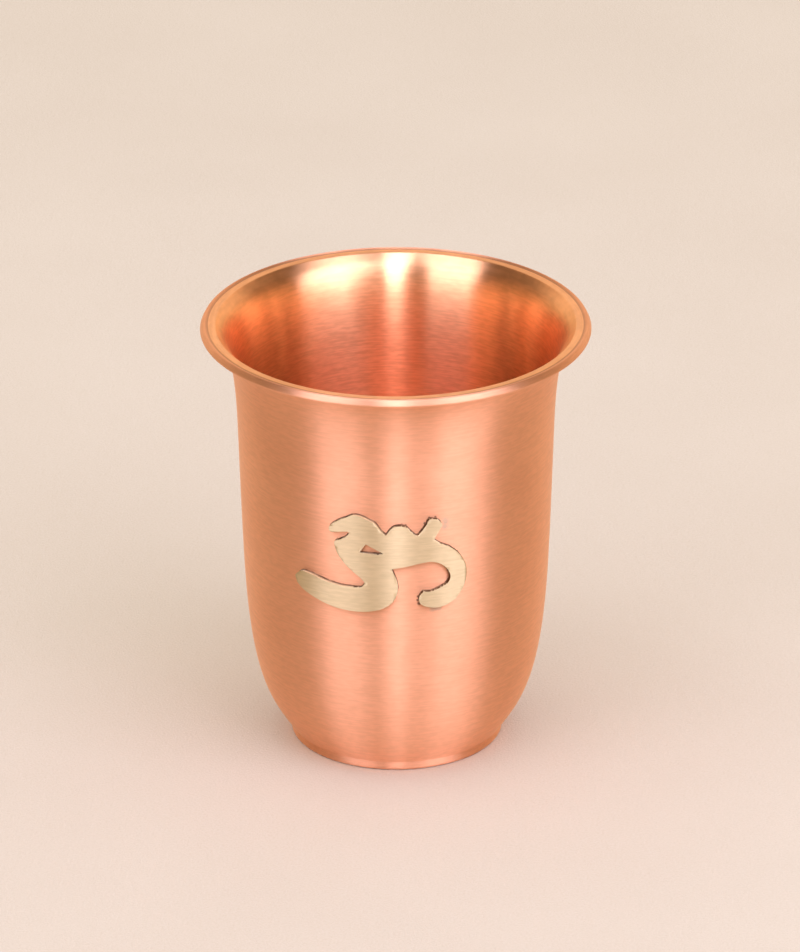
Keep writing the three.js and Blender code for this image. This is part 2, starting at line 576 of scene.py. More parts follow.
COPPER = BrushedMetal(
    "Brushed copper", pale=(0.95, 0.475, 0.27), deep=(0.90, 0.425, 0.235),
    shade_and_tarnish_colour=(0.30, 0.12, 0.06), bare=(1.0, 1.0, 0.84), anisotropy=0.955, polished=0.29,
)
# The brass's dark colour is tarnished sawn metal together with painted shade, on the sign's sides
# and back.
BRASS = BrushedMetal(
    "Brushed pale brass", pale=(0.76, 0.585, 0.335), deep=(0.70, 0.53, 0.29),
    shade_and_tarnish_colour=(0.12, 0.06, 0.025), anisotropy=0.96, polished=0.47,
)


# Lines and meshes


def bend(*handles: Point, steps: int = 6) -> list[Point]:
    """Points along a smooth curve between two ends, both included.

    Args:
        *handles: The first end, one or two points that pull the curve, and the last end.
        steps: How many stretches the curve is cut into.

    Returns:
        The points, in order.
    """
    order = len(handles) - 1
    found = []
    for t in (i / steps for i in range(steps + 1)):
        weights = [math.comb(order, k) * (1 - t) ** (order - k) * t**k for k in range(order + 1)]
        found.append(tuple(sum(w * p[axis] for w, p in zip(weights, handles)) for axis in (0, 1)))
    return found


def rounded(before: Point, corner: Point, after: Point, reach: float) -> list[Point]:
    """Rounds one corner of a line.

    Args:
        before: The point before the corner.
        corner: The corner.
        after: The point after it.
        reach: How far from the corner the rounding starts, at most nearly half a side.

    Returns:
        The points that take the corner's place.
    """
    most = 0.45
    ends = []
    for other in (before, after):
        share = min(reach / math.dist(corner, other), most)
        ends.append(tuple(c + (o - c) * share for c, o in zip(corner, other)))
    return bend(ends[0], corner, ends[1])


def up_lean(start: Point, lean: float, distance: float) -> Point:
    """Goes from a point along a lean.

    Args:
        start: The point.
        lean: The lean from upright, in degrees.
        distance: How far to go, downwards if it is negative.

    Returns:
        The point that is reached.
    """
    angle = math.radians(lean)
    return (start[0] + distance * math.sin(angle), start[1] + distance * math.cos(angle))


def arc(centre: Point, radius: float, start: float, end: float, steps: int) -> list[Point]:
    """Points along an arc, both ends included.

    Args:
        centre: The arc's centre.
        radius: Its radius.
        start: The first angle, in degrees.
        end: The last angle, in degrees.
        steps: How many stretches the arc is cut into.

    Returns:
        The points, in order.
    """
    turns = [math.radians(start + (end - start) * i / steps) for i in range(steps + 1)]
    return [(centre[0] + radius * math.cos(t), centre[1] + radius * math.sin(t)) for t in turns]


def spline(start: Point, points: list[Point], steps: int) -> list[Point]:
    """Points of a smooth curve through the given ones, the start left out.

    Args:
        start: Where the curve begins.
        points: What it passes through.
        steps: How many stretches lie between two given points.

    Returns:
        The points, in order.
    """
    every = [start, *points]
    found = []
    for i in range(len(points)):
        p0, p1 = every[max(i - 1, 0)], every[i]
        p2, p3 = every[i + 1], every[min(i + 2, len(points))]
        for t in (s / steps for s in range(1, steps + 1)):
            found.append(tuple(
                0.5 * (2 * b + (c - a) * t
                       + (2 * a - 5 * b + 4 * c - d) * t * t
                       + (3 * b - a - 3 * c + d) * t**3)
                for a, b, c, d in zip(p0, p1, p2, p3)
            ))
    return found


def apart(line: list[Point], least: float = 1e-3) -> list[Point]:
    """Drops each point that repeats the one before it.

    Args:
        line: The points.
        least: How far apart two points have to be.

    Returns:
        The points that are left.
    """
    return [p for i, p in enumerate(line) if i == 0 or math.dist(p, line[i - 1]) > least]


def wire(name: str, points: list[Vector], closed: list[int]) -> bpy.types.Mesh:
    """Makes a mesh of plain edges.

    Args:
        name: What the mesh is called.
        points: The points of all its lines, in metres.
        closed: How many points each closed line has; what is left is one open line.

    Returns:
        The mesh.
    """
    edges, first = [], 0
    for count in closed:
        edges += [(first + i, first + (i + 1) % count) for i in range(count)]
        first += count
    edges += [(i, i + 1) for i in range(first, len(points) - 1)]
    made = bpy.data.meshes.new(name)
    made.from_pydata([tuple(p) for p in points], edges, [])
    return made


def in_scene(name: str, data: bpy.types.ID) -> bpy.types.Object:
    """Makes an object in the scene.

    Args:
        name: The object's name.
        data: Its mesh, curve, lamp or camera.

    Returns:
        The new object, at the origin.
    """
    made = bpy.data.objects.new(name, data)
    bpy.context.scene.collection.objects.link(made)
    return made


def shown(mesh: bpy.types.Mesh, name: str, material: bpy.types.Material) -> bpy.types.Object:
    """Puts a mesh in the scene with its material.

    Args:
        mesh: The finished mesh.
        name: The piece's name.
        material: Its finish.

    Returns:
        The new object, at the origin.
    """
    mesh.materials.clear()
    mesh.materials.append(material)
    return in_scene(name, mesh)


def frozen(holder: bpy.types.Object) -> bpy.types.Mesh:
    """Gives an object's evaluated shape as a plain mesh and removes the object.

    Args:
        holder: The object, with its modifiers.

    Returns:
        The plain mesh.
    """
    bpy.context.view_layer.update()
    evaluated = holder.evaluated_get(bpy.context.evaluated_depsgraph_get())
    made = bpy.data.meshes.new_from_object(evaluated)
    holder.modifiers.clear()
    bpy.data.objects.remove(holder)
    return made


def grown(
    source: bpy.types.Mesh, tree: bpy.types.NodeTree, values: dict[str, object],
) -> bpy.types.Mesh:
    """Runs a geometry group over a mesh.

    Args:
        source: The mesh that the group starts from.
        tree: The geometry group.
        values: A value for each of its named inputs.

    Returns:
        The plain mesh, with no modifier left.
    """
    holder = in_scene(source.name, source)
    modifier = holder.modifiers.new("grow", "NODES")
    modifier.node_group = tree
    inputs = [item for item in tree.interface.items_tree if item.in_out == "INPUT"]
    for item in inputs:
        if item.name in values:
            modifier[item.identifier] = values[item.name]
    return frozen(holder)


def outward(mesh: bpy.types.Mesh) -> bpy.types.Mesh:
    """Turns a closed mesh's faces outwards.

    Args:
        mesh: The mesh, which is changed in place.

    Returns:
        The same mesh.
    """
    work = bmesh.new()
    work.from_mesh(mesh)
    bmesh.ops.recalc_face_normals(work, faces=work.faces)
    work.to_mesh(mesh)
    work.free()
    return mesh


# Geometry rules


def stored(
    graph: Graph, shape: Socket, name: str, value: Socket,
    data_type: str = "FLOAT", domain: str = "POINT",
) -> Socket:
    """Stores a value on a shape under a name.

    Args:
        graph: The geometry graph.
        shape: The shape so far.
        name: The attribute's name.
        value: What is stored.
        data_type: The attribute's type.
        domain: What carries it.

    Returns:
        The shape with its new attribute.
    """
    return graph.result(
        "GeometryNodeStoreNamedAttribute", {"Geometry": shape, "Name": name, "Value": value},
        data_type=data_type, domain=domain,
    )


def finish_up(graph: Graph, shape: Socket, finish: Socket, end: Sockets) -> None:
    """Ends a geometry group: shades smooth, makes instances real and sets the material.

    Args:
        graph: The geometry graph.
        shape: The shape so far.
        finish: The material's socket.
        end: The sockets that take the group's outputs.
    """
    smooth = graph.result("GeometryNodeSetShadeSmooth", {"Geometry": shape})
    real = graph.result("GeometryNodeRealizeInstances", {"Geometry": smooth})
    feeds = {"Geometry": real, "Material": finish}
    graph.feed(end["Geometry"], graph.result("GeometryNodeSetMaterial", feeds))


@dataclass(frozen=True)
class SpunSheet:
    """The rule that turns a section of (radius, 0, height) points about the axis.

    The crease where the polished part starts is painted with shade over a few rows of the section.
    """

    merge: float = 1e-6
    crease_shade: float = 0.6
    crease_rows: float = 1.3

    def group(self) -> bpy.types.NodeTree:
        """Builds the geometry group.

        Returns:
            A group that gives one closed mesh with a UV map, its polish mask and a mask of painted
            shade in the crease.
        """
        graph, start, end = new_group(
            "Spun sheet", "GeometryNodeTree",
            {"Section": GEOMETRY, "Facets": INTEGER, "Polished from": INTEGER, "Finish": MATERIAL},
            {"Geometry": GEOMETRY},
        )
        section, here = start["Section"], graph.result("GeometryNodeInputPosition")
        size = graph.add("GeometryNodeAttributeDomainSize", {0: section}, component="MESH")
        count = size.outputs["Point Count"]
        grid = graph.add("GeometryNodeMeshGrid", {
            "Size X": 1.0, "Vertices X": graph.math("ADD", start["Facets"], 1.0),
            "Size Y": 1.0, "Vertices Y": count,
        }).outputs
        flat = graph.split(here)
        share = graph.math("ADD", flat["Y"], 0.5)
        row = graph.math(
            "ROUND", graph.math("MULTIPLY", share, graph.math("SUBTRACT", count, 1.0)),
        )
        feeds = {"Geometry": section, "Value": here, "Index": row}
        found = graph.split(graph.result(
            "GeometryNodeSampleIndex", feeds, data_type="FLOAT_VECTOR", domain="POINT",
        ))
        angle = graph.math("MULTIPLY", graph.math("ADD", flat["X"], 0.5), 2 * math.pi)
        x, y = (
            graph.math("MULTIPLY", found["X"], graph.math(turn, angle))
            for turn in ("COSINE", "SINE")
        )
        # The masks go on while the grid is flat, because a row's number is read from its place.
        past = graph.math("SUBTRACT", row, start["Polished from"])
        polish = graph.spread(past, (-1.0, 1.0))
        # Painted shade: the rows about the crease get a dark mask that stands for the shade in the
        # lip's groove.
        near = graph.math("ABSOLUTE", past)
        shade_and_tarnish_mask = graph.spread(near, (0.0, self.crease_rows), (self.crease_shade, 0.0))
        shape = stored(graph, grid["Mesh"], "polish", polish)
        shape = stored(graph, shape, "shade_and_tarnish_mask", shade_and_tarnish_mask)
        shape = graph.result("GeometryNodeSetPosition", {
            "Geometry": shape, "Position": graph.combine(x, y, found["Z"]),
        })
        shape = stored(graph, shape, "UVMap", grid["UV Map"], "FLOAT2", "CORNER")
        feeds = {"Geometry": shape, "Distance": self.merge}
        shape = graph.result("GeometryNodeMergeByDistance", feeds)
        finish_up(graph, shape, start["Finish"], end)
        return graph.tree


@dataclass(frozen=True)
class SolderSeam:
    """The rule for solder that squeezed out along an outline, with a bead here and there.

    The step between its points is in metres, and the smallest bead is a share of the largest.
    """

    step: float = 0.00018
    facets: int = 8
    bead_levels: int = 3
    bead_least: float = 0.5
    seed: int = 0
    wander_scale: float = 420.0
    wander_layers: float = 3.0
    wander_roughness: float = 0.6
    wander_span: Point = (0.35, 0.7)

    def group(self) -> bpy.types.NodeTree:
        """Builds the geometry group.

        Returns:
            A group that gives a thin, uneven seam and its beads.
        """
        graph, start, end = new_group(
            "Solder seam", "GeometryNodeTree",
            {
                "Outline": GEOMETRY, "Thin": FLOAT, "Thick": FLOAT,
                "Bead": FLOAT, "Bead share": FLOAT, "Finish": MATERIAL,
            },
            {"Geometry": GEOMETRY},
        )
        line = graph.result("GeometryNodeMeshToCurve", {0: start["Outline"]})
        feeds = {"Curve": line, "Length": self.step}
        even = graph.result("GeometryNodeResampleCurve", feeds, mode="LENGTH")
        wander = graph.noise(
            graph.result("GeometryNodeInputPosition"),
            self.wander_scale, self.wander_layers, self.wander_roughness,
        )
        span = graph.math("SUBTRACT", start["Thick"], start["Thin"])
        growth = graph.math("MULTIPLY", graph.spread(wander, self.wander_span), span)
        width = graph.math("ADD", growth, start["Thin"])
        sized = graph.result("GeometryNodeSetCurveRadius", {0: even, "Radius": width})
        feeds = {"Resolution": self.facets, "Radius": 1.0}
        ring = graph.result("GeometryNodeCurvePrimitiveCircle", feeds)
        tube = graph.result("GeometryNodeCurveToMesh", {0: sized, 1: ring, "Scale": width})
        feeds = {"Radius": 1.0, "Subdivisions": self.bead_levels}
        ball = graph.result("GeometryNodeMeshIcoSphere", feeds)
        feeds = {"Probability": start["Bead share"], "Seed": self.seed}
        chosen = graph.add("FunctionNodeRandomValue", feeds, data_type="BOOLEAN")
        size = graph.add("FunctionNodeRandomValue", {"Seed": self.seed}, data_type="FLOAT")
        for socket, limit in zip(of_type(size.inputs, "VALUE"), (self.bead_least, 1.0)):
            graph.feed(socket, limit)
        radius = graph.math("MULTIPLY", of_type(size.outputs, "VALUE")[0], start["Bead"])
        beads = graph.result("GeometryNodeInstanceOnPoints", {
            "Points": even, "Selection": of_type(chosen.outputs, "BOOLEAN")[0],
            "Instance": ball, "Scale": radius,
        })
        both = graph.add("GeometryNodeJoinGeometry")
        for shape in (tube, beads):
            graph.feed(both.inputs[0], shape)
        finish_up(graph, both.outputs[0], start["Finish"], end)
        return graph.tree


# The cup


@dataclass
class SpunCup:
    """The copper cup: sizes in millimetres, from the same driving dimensions as the frame.

    Points are (radius, height), leans and slants are in degrees, and a hold says for how long a
    stretch of wall keeps the leans of its two ends, as shares of its height.
    """

    height: float = 93.6
    lip_radius: float = 41.0
    lip_thickness: float = 1.5
    lip_width: float = 3.2
    lip_easing: float = 0.6
    bead_low_radius: float = 0.38
    bead_low_steps: int = 14
    bead_top_radius: float = 0.5
    bead_top_steps: int = 20
    bead_slant: float = 27.0
    bead_end: float = 120.0
    crease: Point = (39.45, 93.40)
    band_edge: Point = (39.33, 93.46)
    band_crown: Point = (38.9, 93.47)
    band_drop: float = 0.16
    band_rounding: float = 0.22
    wall: float = 0.9
    wall_steps: int = 44
    flare_height: float = 22.0
    flare_lean: float = 45.0
    flare_hold: Point = (0.43, 0.2)
    neck_radius: float = 33.3
    neck_lean: float = 1.9
    neck_hold: Point = (0.33, 0.33)
    neck_steps: int = 28
    bowl_height: float = 40.0
    waist_radius: float = 32.2
    waist_lean: float = 2.7
    bowl_lean: float = 34.0
    bowl_hold: Point = (0.21, 0.73)
    foot_radius: float = 22.4
    foot_height: float = 2.0
    foot_edge: float = 0.12
    foot_rounding: float = 0.8
    foot_steps: int = 10
    ring_width: float = 3.0
    ring_rounding: float = 0.4
    base_rise: float = 1.2
    base_step: float = 2.4
    base_rounding: float = 1.0
    floor_rounding: float = 0.9
    facets: int = 288
    outside: list[Point] = field(init=False)

    def __post_init__(self) -> None:
        """Works out the outside of the wall."""
        self.outside = self.outside_line()

    @property
    def lip_corner(self) -> Point:
        """Where the flare meets the underside of the lip."""
        return (self.lip_radius - self.lip_width, self.height - self.lip_thickness)

    @property
    def flare_top(self) -> Point:
        """Where the flare starts to ease into the underside of the lip."""
        return up_lean(self.lip_corner, self.flare_lean, -self.lip_easing)

    @staticmethod
    def stretch(
        low: Point, low_lean: float, high: Point, high_lean: float, hold: Point, steps: int,
    ) -> list[Point]:
        """A stretch of wall between two points.

        Args:
            low: The lower end.
            low_lean: Its lean there.
            high: The upper end.
            high_lean: Its lean there.
            hold: How long it holds each lean.
            steps: How many pieces it is cut into.

        Returns:
            The points, in order.
        """
        rise = high[1] - low[1]
        low_pull = up_lean(low, low_lean, hold[0] * rise)
        high_pull = up_lean(high, high_lean, -hold[1] * rise)
        return bend(low, low_pull, high_pull, high, steps=steps)

    def outside_line(self) -> list[Point]:
        """The wall's outside, from the foot to just under the lip.

        Returns:
            The points, in order.
        """
        foot = (self.foot_radius, self.foot_height)
        waist = (self.waist_radius, self.bowl_height)
        neck = (self.neck_radius, self.lip_corner[1] - self.flare_height)
        top, stretch = self.flare_top, self.stretch
        return apart(
            stretch(foot, self.bowl_lean, waist, self.waist_lean, self.bowl_hold, self.wall_steps)
            + stretch(waist, self.waist_lean, neck, self.neck_lean, self.neck_hold, self.neck_steps)
            + stretch(neck, self.neck_lean, top, self.flare_lean, self.flare_hold, self.wall_steps)
        )

    def wall_radius(self, height: float) -> float:
        """Finds how far the wall's outside is from the axis.

        Args:
            height: The height above the table.

        Returns:
            The radius there.
        """
        for low, high in zip(self.outside, self.outside[1:]):
            if high[1] >= height:
                return low[0] + (high[0] - low[0]) * (height - low[1]) / (high[1] - low[1])
        return self.lip_radius

    def inside_line(self) -> list[Point]:
        """The wall's inside, from under the lip down to the foot.

        Returns:
            The points, in order.
        """
        line, found = self.outside, []
        for i, (r, z) in enumerate(line):
            before, after = line[max(i - 1, 0)], line[min(i + 1, len(line) - 1)]
            along = Vector((after[0] - before[0], after[1] - before[1])).normalized()
            found.append((r - along.y * self.wall, z + along.x * self.wall))
        return found[::-1]

    def bead_line(self) -> list[Point]:
        """The bead round the lip: a low and a high rounding with a slanting face between them.

        Returns:
            The points, from the lip's underside to its crease.
        """
        slant = math.radians(self.bead_slant)
        low_radius, top_radius = self.bead_low_radius, self.bead_top_radius
        low = (self.lip_radius - low_radius, self.height - self.lip_thickness + low_radius)
        top_height = self.height - top_radius
        face_start = (low[0] + low_radius * math.cos(slant), low[1] + low_radius * math.sin(slant))
        run = (top_height + top_radius * math.sin(slant) - face_start[1]) / math.cos(slant)
        face_end = up_lean(face_start, -self.bead_slant, run)
        top = (face_end[0] - top_radius * math.cos(slant), top_height)
        return (
            arc(low, low_radius, -90.0, self.bead_slant, self.bead_low_steps)
            + arc(top, top_radius, self.bead_slant, self.bead_end, self.bead_top_steps)
        )

    def lip_line(self, inside_top: Point) -> list[Point]:
        """The rolled lip: its underside, the bead, the crease, the band and the corner inside it.

        Args:
            inside_top: Where the inside of the flare starts.

        Returns:
            The points, in order.
        """
        under_end = (self.lip_corner[0] + self.lip_easing, self.lip_corner[1])
        under = bend(self.flare_top, self.lip_corner, under_end)
        rise = self.height - self.band_drop - inside_top[1]
        run = rise / math.cos(math.radians(self.flare_lean))
        corner = up_lean(inside_top, self.flare_lean, run)
        band_end = (corner[0] + self.band_rounding, corner[1])
        face_top = up_lean(corner, self.flare_lean, -self.band_rounding)
        band = bend(self.band_edge, self.band_crown, band_end)
        return under + self.bead_line() + [self.crease] + band + bend(band_end, corner, face_top)

    def profile(self) -> list[Point]:
        """The whole section, from the axis under the base round to the axis inside.

        Returns:
            The points, in order.
        """
        inside = self.inside_line()
        ring_outer = self.foot_radius - self.foot_rounding
        ring_inner = ring_outer - self.ring_width
        base = ring_inner - self.base_step
        floor_top = self.base_rise + self.wall
        middle = ((ring_inner + ring_outer) / 2, self.wall)
        low_base, low_ring = (base, self.base_rise), (ring_inner, 0.0)
        high_base, high_ring = (base, floor_top), (ring_inner, self.wall)
        under = [(0.0, self.base_rise), (base / 2, self.base_rise)]
        under += rounded(under[0], low_base, low_ring, self.base_rounding)
        under += rounded(low_base, low_ring, (ring_outer, 0.0), self.ring_rounding)
        foot_centre = (ring_outer, self.foot_rounding)
        foot = arc(foot_centre, self.foot_rounding, -90.0, 0.0, self.foot_steps)
        foot += [(self.foot_radius, self.foot_height - self.foot_edge)]
        foot_inside = (self.foot_radius - self.wall, self.wall)
        floor = bend(inside[-1], foot_inside, middle, steps=self.foot_steps)
        floor += rounded(middle, high_ring, high_base, self.floor_rounding)
        floor += rounded(high_ring, high_base, (0.0, floor_top), self.floor_rounding)
        floor += [(base / 2, floor_top), (0.0, floor_top)]
        return apart(under + foot + self.outside + self.lip_line(inside[0]) + inside + floor)

    def mesh(self, rule: bpy.types.NodeTree, finish: bpy.types.Material) -> bpy.types.Mesh:
        """Turns the section round the axis.

        Args:
            rule: The geometry group that turns a section.
            finish: The cup's material.

        Returns:
            One closed mesh, in metres.
        """
        line = self.profile()
        section = wire("spun_cup", [Vector((r, 0, z)) * MM for r, z in line], [])
        values = {
            "Facets": self.facets, "Polished from": line.index(self.crease), "Finish": finish,
        }
        return outward(grown(section, rule, values))


# The sign


# The sign's outer edge and its small window: millimetres along the wall and up from its middle.
SIGN_OUTLINE: list[tuple[Run, list[Point]]] = [
    (Run.CURVE, [(-18.6, -5.6), (-17.8, -4.7), (-16.7, -4.1), (-14.0, -4.4), (-11.2, -5.1),
                 (-7.9, -5.6)]),
    (Run.CURVE, [(-5.3, -5.6), (-3.7, -5.5)]),
    (Run.CURVE, [(-3.2, -5.2), (-2.8, -4.6), (-2.8, -4.1)]),
    (Run.CURVE, [(-3.6, -3.2), (-4.7, -2.3), (-6.7, -0.5), (-8.2, 1.5), (-8.9, 3.2), (-9.1, 4.4)]),
    (Run.LINE, [(-9.0, 4.6)]),
    (Run.CURVE, [(-7.4, 5.4), (-6.3, 6.2), (-5.9, 6.8)]),
    (Run.CURVE, [(-5.9, 7.1), (-6.1, 7.2), (-6.4, 7.2)]),
    (Run.LINE, [(-9.6, 6.6)]),
    (Run.CURVE, [(-10.0, 6.8), (-10.2, 7.3), (-10.0, 8.0), (-9.1, 8.9), (-7.9, 9.7), (-6.5, 10.4),
                 (-5.4, 11.1)]),
    (Run.CURVE, [(-4.4, 11.2), (-3.4, 11.0), (-1.8, 10.3), (-0.5, 9.5), (0.6, 8.0), (1.2, 7.3)]),
    (Run.CURVE, [(1.6, 7.0), (2.0, 7.3)]),
    (Run.CURVE, [(2.5, 8.2), (3.3, 8.9), (4.6, 9.1), (5.8, 8.8), (6.6, 8.0), (7.4, 7.1)]),
    (Run.CURVE, [(7.9, 6.8), (8.4, 7.0)]),
    (Run.LINE, [(10.0, 9.3)]),
    (Run.CURVE, [(10.2, 10.0), (10.7, 10.4), (11.3, 10.4)]),
    (Run.LINE, [(12.2, 10.2)]),
    (Run.CURVE, [(12.9, 9.5), (13.2, 8.7)]),
    (Run.LINE, [(11.5, 5.6)]),
    (Run.CURVE, [(12.9, 4.5), (15.2, 3.2), (16.9, 1.5), (18.3, -0.9), (18.6, -3.8), (17.9, -6.5),
                 (16.2, -8.9)]),
    (Run.CURVE, [(14.2, -10.0), (11.9, -10.3), (9.7, -9.8), (8.7, -9.0), (8.4, -7.9), (8.7, -7.1),
                 (9.4, -6.3)]),
    (Run.CURVE, [(11.0, -6.4), (13.0, -5.7), (14.4, -4.9), (15.0, -3.7), (14.8, -2.4), (13.8, -0.9),
                 (12.6, 0.0)]),
    (Run.CURVE, [(10.9, 0.5), (8.7, 0.3), (6.0, -0.3), (2.8, -0.9)]),
    (Run.CURVE, [(3.3, -2.2), (4.0, -4.0), (4.1, -5.9), (3.5, -7.8), (2.2, -9.4), (0.2, -10.5)]),
    (Run.CURVE, [(-2.6, -11.1), (-6.0, -11.2), (-9.5, -10.8), (-13.2, -9.8), (-16.5, -8.4),
                 (-18.1, -7.1)]),
    (Run.LINE, [(-18.6, -5.6)]),
]
SIGN_WINDOW: list[Point] = [(0.1, 2.4), (1.2, 2.7), (-2.4, 4.7), (-3.8, 2.6)]


@dataclass(frozen=True)
class SolderMarks:
    """One kind of mark that soldering left on the copper beside the sign.

    Each place is (along the wall, up from the sign's middle, radius), in millimetres.
    """

    colour: Colour
    strength: float
    places: tuple[Place, ...]


STAIN: Colour = (0.55, 0.42, 0.27)
FLUX: Colour = (0.14, 0.065, 0.03)
MARKS = (
    # Pale stains at the sign's upper right and below it.
    SolderMarks(STAIN, 0.6, ((14.1, 9.3, 1.0), (14.0, 8.0, 1.0))),
    SolderMarks(STAIN, 0.5, ((11.6, -10.9, 1.0), (12.8, -10.8, 1.0))),
    # Specks of burnt flux.
    SolderMarks(FLUX, 0.85, (
        (8.35, -7.8, 0.4), (8.3, -8.6, 0.4), (8.6, -9.4, 0.55), (4.9, 9.15, 0.35),
        (5.7, 8.95, 0.35), (10.6, 10.4, 0.35), (11.9, 10.35, 0.35), (9.7, 9.2, 0.4),
    )),
)


@dataclass
class BrassSign:
    """The Om sign: a sawn brass plate, bent to the wall and soldered on.

    Sizes are in millimetres and angles in degrees. The film is the solder between plate and wall.
    Edges that turn by more than the rim's angle are eased, and a face that tips forwards by less
    than the side's slope counts as sawn. The merges are how close two points have to be to become
    one, in metres once the plate is bent. The bead share is how many points carry a bead.
    """

    cup: SpunCup
    thickness: float = 0.8
    film: float = 0.12
    height: float = 53.0
    edge_round: float = 0.2
    edge_steps: int = 3
    curve_steps: int = 5
    window_rounding: float = 0.25
    half_width: int = 19
    half_height: int = 11
    rim_angle: float = 57.3
    side_slope: float = 0.3
    sharp_angle: float = 50.0
    map_size: float = 40.0
    least_step: float = 0.02
    flat_merge: float = 1e-4
    cut_merge: float = 1e-5
    bent_merge: float = 1e-7
    seam_depth: float = 0.072
    seam_thin: float = 0.07
    seam_thick: float = 0.2
    bead_radius: float = 0.26
    bead_share: float = 0.02
    mark_depth: float = 0.1

    def outline(self) -> list[Point]:
        """The sign's outer edge, flat, about its own middle.

        Returns:
            Points of (along the wall, up).
        """
        found = [SIGN_OUTLINE[0][1][0]]
        for i, (run, points) in enumerate(SIGN_OUTLINE):
            ahead = points[1:] if i == 0 else points
            found += spline(found[-1], ahead, self.curve_steps) if run is Run.CURVE else ahead
        return apart(found[1:], self.least_step)

    def window(self) -> list[Point]:
        """The small window's edge, its corners slightly rounded.

        Returns:
            Points of (along the wall, up).
        """
        found = []
        for i, corner in enumerate(SIGN_WINDOW):
            before, after = SIGN_WINDOW[i - 1], SIGN_WINDOW[(i + 1) % len(SIGN_WINDOW)]
            found += rounded(before, corner, after, self.window_rounding)
        return found

    def flat(self) -> bpy.types.Mesh:
        """The plate's face, flat, filled between its edges.

        Returns:
            A flat mesh in millimetres.
        """
        curve = bpy.data.curves.new("sign_outline", "CURVE")
        curve.dimensions = "2D"
        curve.fill_mode = "BOTH"
        for points in (self.outline(), self.window()):
            line = curve.splines.new("POLY")
            line.points.add(len(points) - 1)
            line.use_cyclic_u = True
            for spot, (x, y) in zip(line.points, points):
                spot.co = (x, y, 0, 1)
        return frozen(in_scene("sign_outline", curve))

    def bent(self, x: float, y: float, out: float) -> Vector:
        """Bends a point of the flat plate to the wall.

        Args:
            x: How far along the wall it is from the sign's middle.
            y: How far up it is from there.
            out: How far in front of the plate's back it is.

        Returns:
            The point on the cup, in metres.
        """
        z = self.height + y
        turn = x / self.cup.wall_radius(self.height)
        r = self.cup.wall_radius(z) + self.film + out
        return Vector((r * math.sin(turn), -r * math.cos(turn), z)) * MM

    def cut_across(self, work: bmesh.types.BMesh) -> None:
        """Cuts the flat face at every millimetre both ways, so that it can bend.

        Args:
            work: The flat face.
        """
        for way, reach in (((1, 0, 0), self.half_width), ((0, 1, 0), self.half_height)):
            for step in range(-reach, reach + 1):
                every = list(work.verts) + list(work.edges) + list(work.faces)
                bmesh.ops.bisect_plane(
                    work, geom=every, plane_co=Vector(way) * step, plane_no=way,
                    dist=self.cut_merge,
                )

    def thicken(self, work: bmesh.types.BMesh) -> None:
        """Gives the flat face its thickness and eases the edges of its front.

        Args:
            work: The flat face, cut across.
        """
        for face in work.faces:
            if face.normal.z < 0:
                face.normal_flip()
        made = bmesh.ops.extrude_face_region(work, geom=list(work.faces), use_keep_orig=True)
        front = [v for v in made["geom"] if isinstance(v, bmesh.types.BMVert)]
        bmesh.ops.translate(work, verts=front, vec=(0, 0, self.thickness))
        bmesh.ops.recalc_face_normals(work, faces=work.faces)
        rim = [
            e for e in work.edges
            if len(e.link_faces) == 2 and e.calc_face_angle() > math.radians(self.rim_angle)
            and min(v.co.z for v in e.verts) > self.thickness / 2
        ]
        bmesh.ops.bevel(
            work, geom=rim, offset=self.edge_round, segments=self.edge_steps, profile=0.5,
            affect="EDGES", clamp_overlap=True,
        )

    def mark(self, work: bmesh.types.BMesh) -> None:
        """Gives the plate its UV map and the mask that darkens its sawn sides and back, as
        tarnished metal together with painted shade.

        Args:
            work: The plate, still flat.
        """
        uv = work.loops.layers.uv.new("UVMap")
        shade_and_tarnish_mask = work.verts.layers.float.new("shade_and_tarnish_mask")
        for face in work.faces:
            for loop in face.loops:
                x, y, z = loop.vert.co
                loop[uv].uv = (0.5 + x / self.map_size, 0.5 + (y + z) / self.map_size)
        for v in work.verts:
            around = [f for f in v.link_faces if f.calc_area() > 0]
            sawn = all(abs(f.normal.z) < self.side_slope for f in around)
            # The sawn sides and the back against the wall are darkened: tarnished metal together
            # with painted shade.
            v[shade_and_tarnish_mask] = 1.0 if sawn or v.co.z < self.thickness / 2 else 0.0

    def mesh(self) -> bpy.types.Mesh:
        """Thickens, rounds and bends the plate.

        Returns:
            One closed mesh, in metres, with a UV map and a mask of its sawn sides.
        """
        work = bmesh.new()
        work.from_mesh(self.flat())
        bmesh.ops.remove_doubles(work, verts=work.verts, dist=self.flat_merge)
        self.cut_across(work)
        self.thicken(work)
        self.mark(work)
        for v in work.verts:
            v.co = self.bent(*v.co)
        bmesh.ops.remove_doubles(work, verts=work.verts, dist=self.bent_merge)
        bmesh.ops.recalc_face_normals(work, faces=work.faces)
        plate = bpy.data.meshes.new("brass_sign")
        work.to_mesh(plate)
        work.free()
        plate.shade_smooth()
        plate.set_sharp_from_angle(angle=math.radians(self.sharp_angle))
        return plate

    def seam(self, rule: bpy.types.NodeTree, finish: bpy.types.Material) -> bpy.types.Mesh:
        """The solder that squeezed out along the sign's edges, dark so that it also lays painted
        shade along the gap there.

        Args:
            rule: The geometry group that lays solder along an outline.
            finish: The solder's material.

        Returns:
            One mesh, in metres.
        """
        outer, inner = self.outline(), self.window()
        places = [self.bent(x, y, -self.seam_depth) for x, y in outer + inner]
        return grown(wire("solder_seam", places, [len(outer), len(inner)]), rule, {
            "Thin": self.seam_thin * MM, "Thick": self.seam_thick * MM,
            "Bead": self.bead_radius * MM, "Bead share": self.bead_share, "Finish": finish,
        })

    def spots(self) -> tuple[Spot, ...]:
        """The stains and specks that soldering left on the cup.

        Returns:
            One spot for each place.
        """
        return tuple(
            Spot(tuple(self.bent(x, y, -self.mark_depth)), size * MM, marks.strength, marks.colour)
            for marks in MARKS for x, y, size in marks.places
        )


# The studio


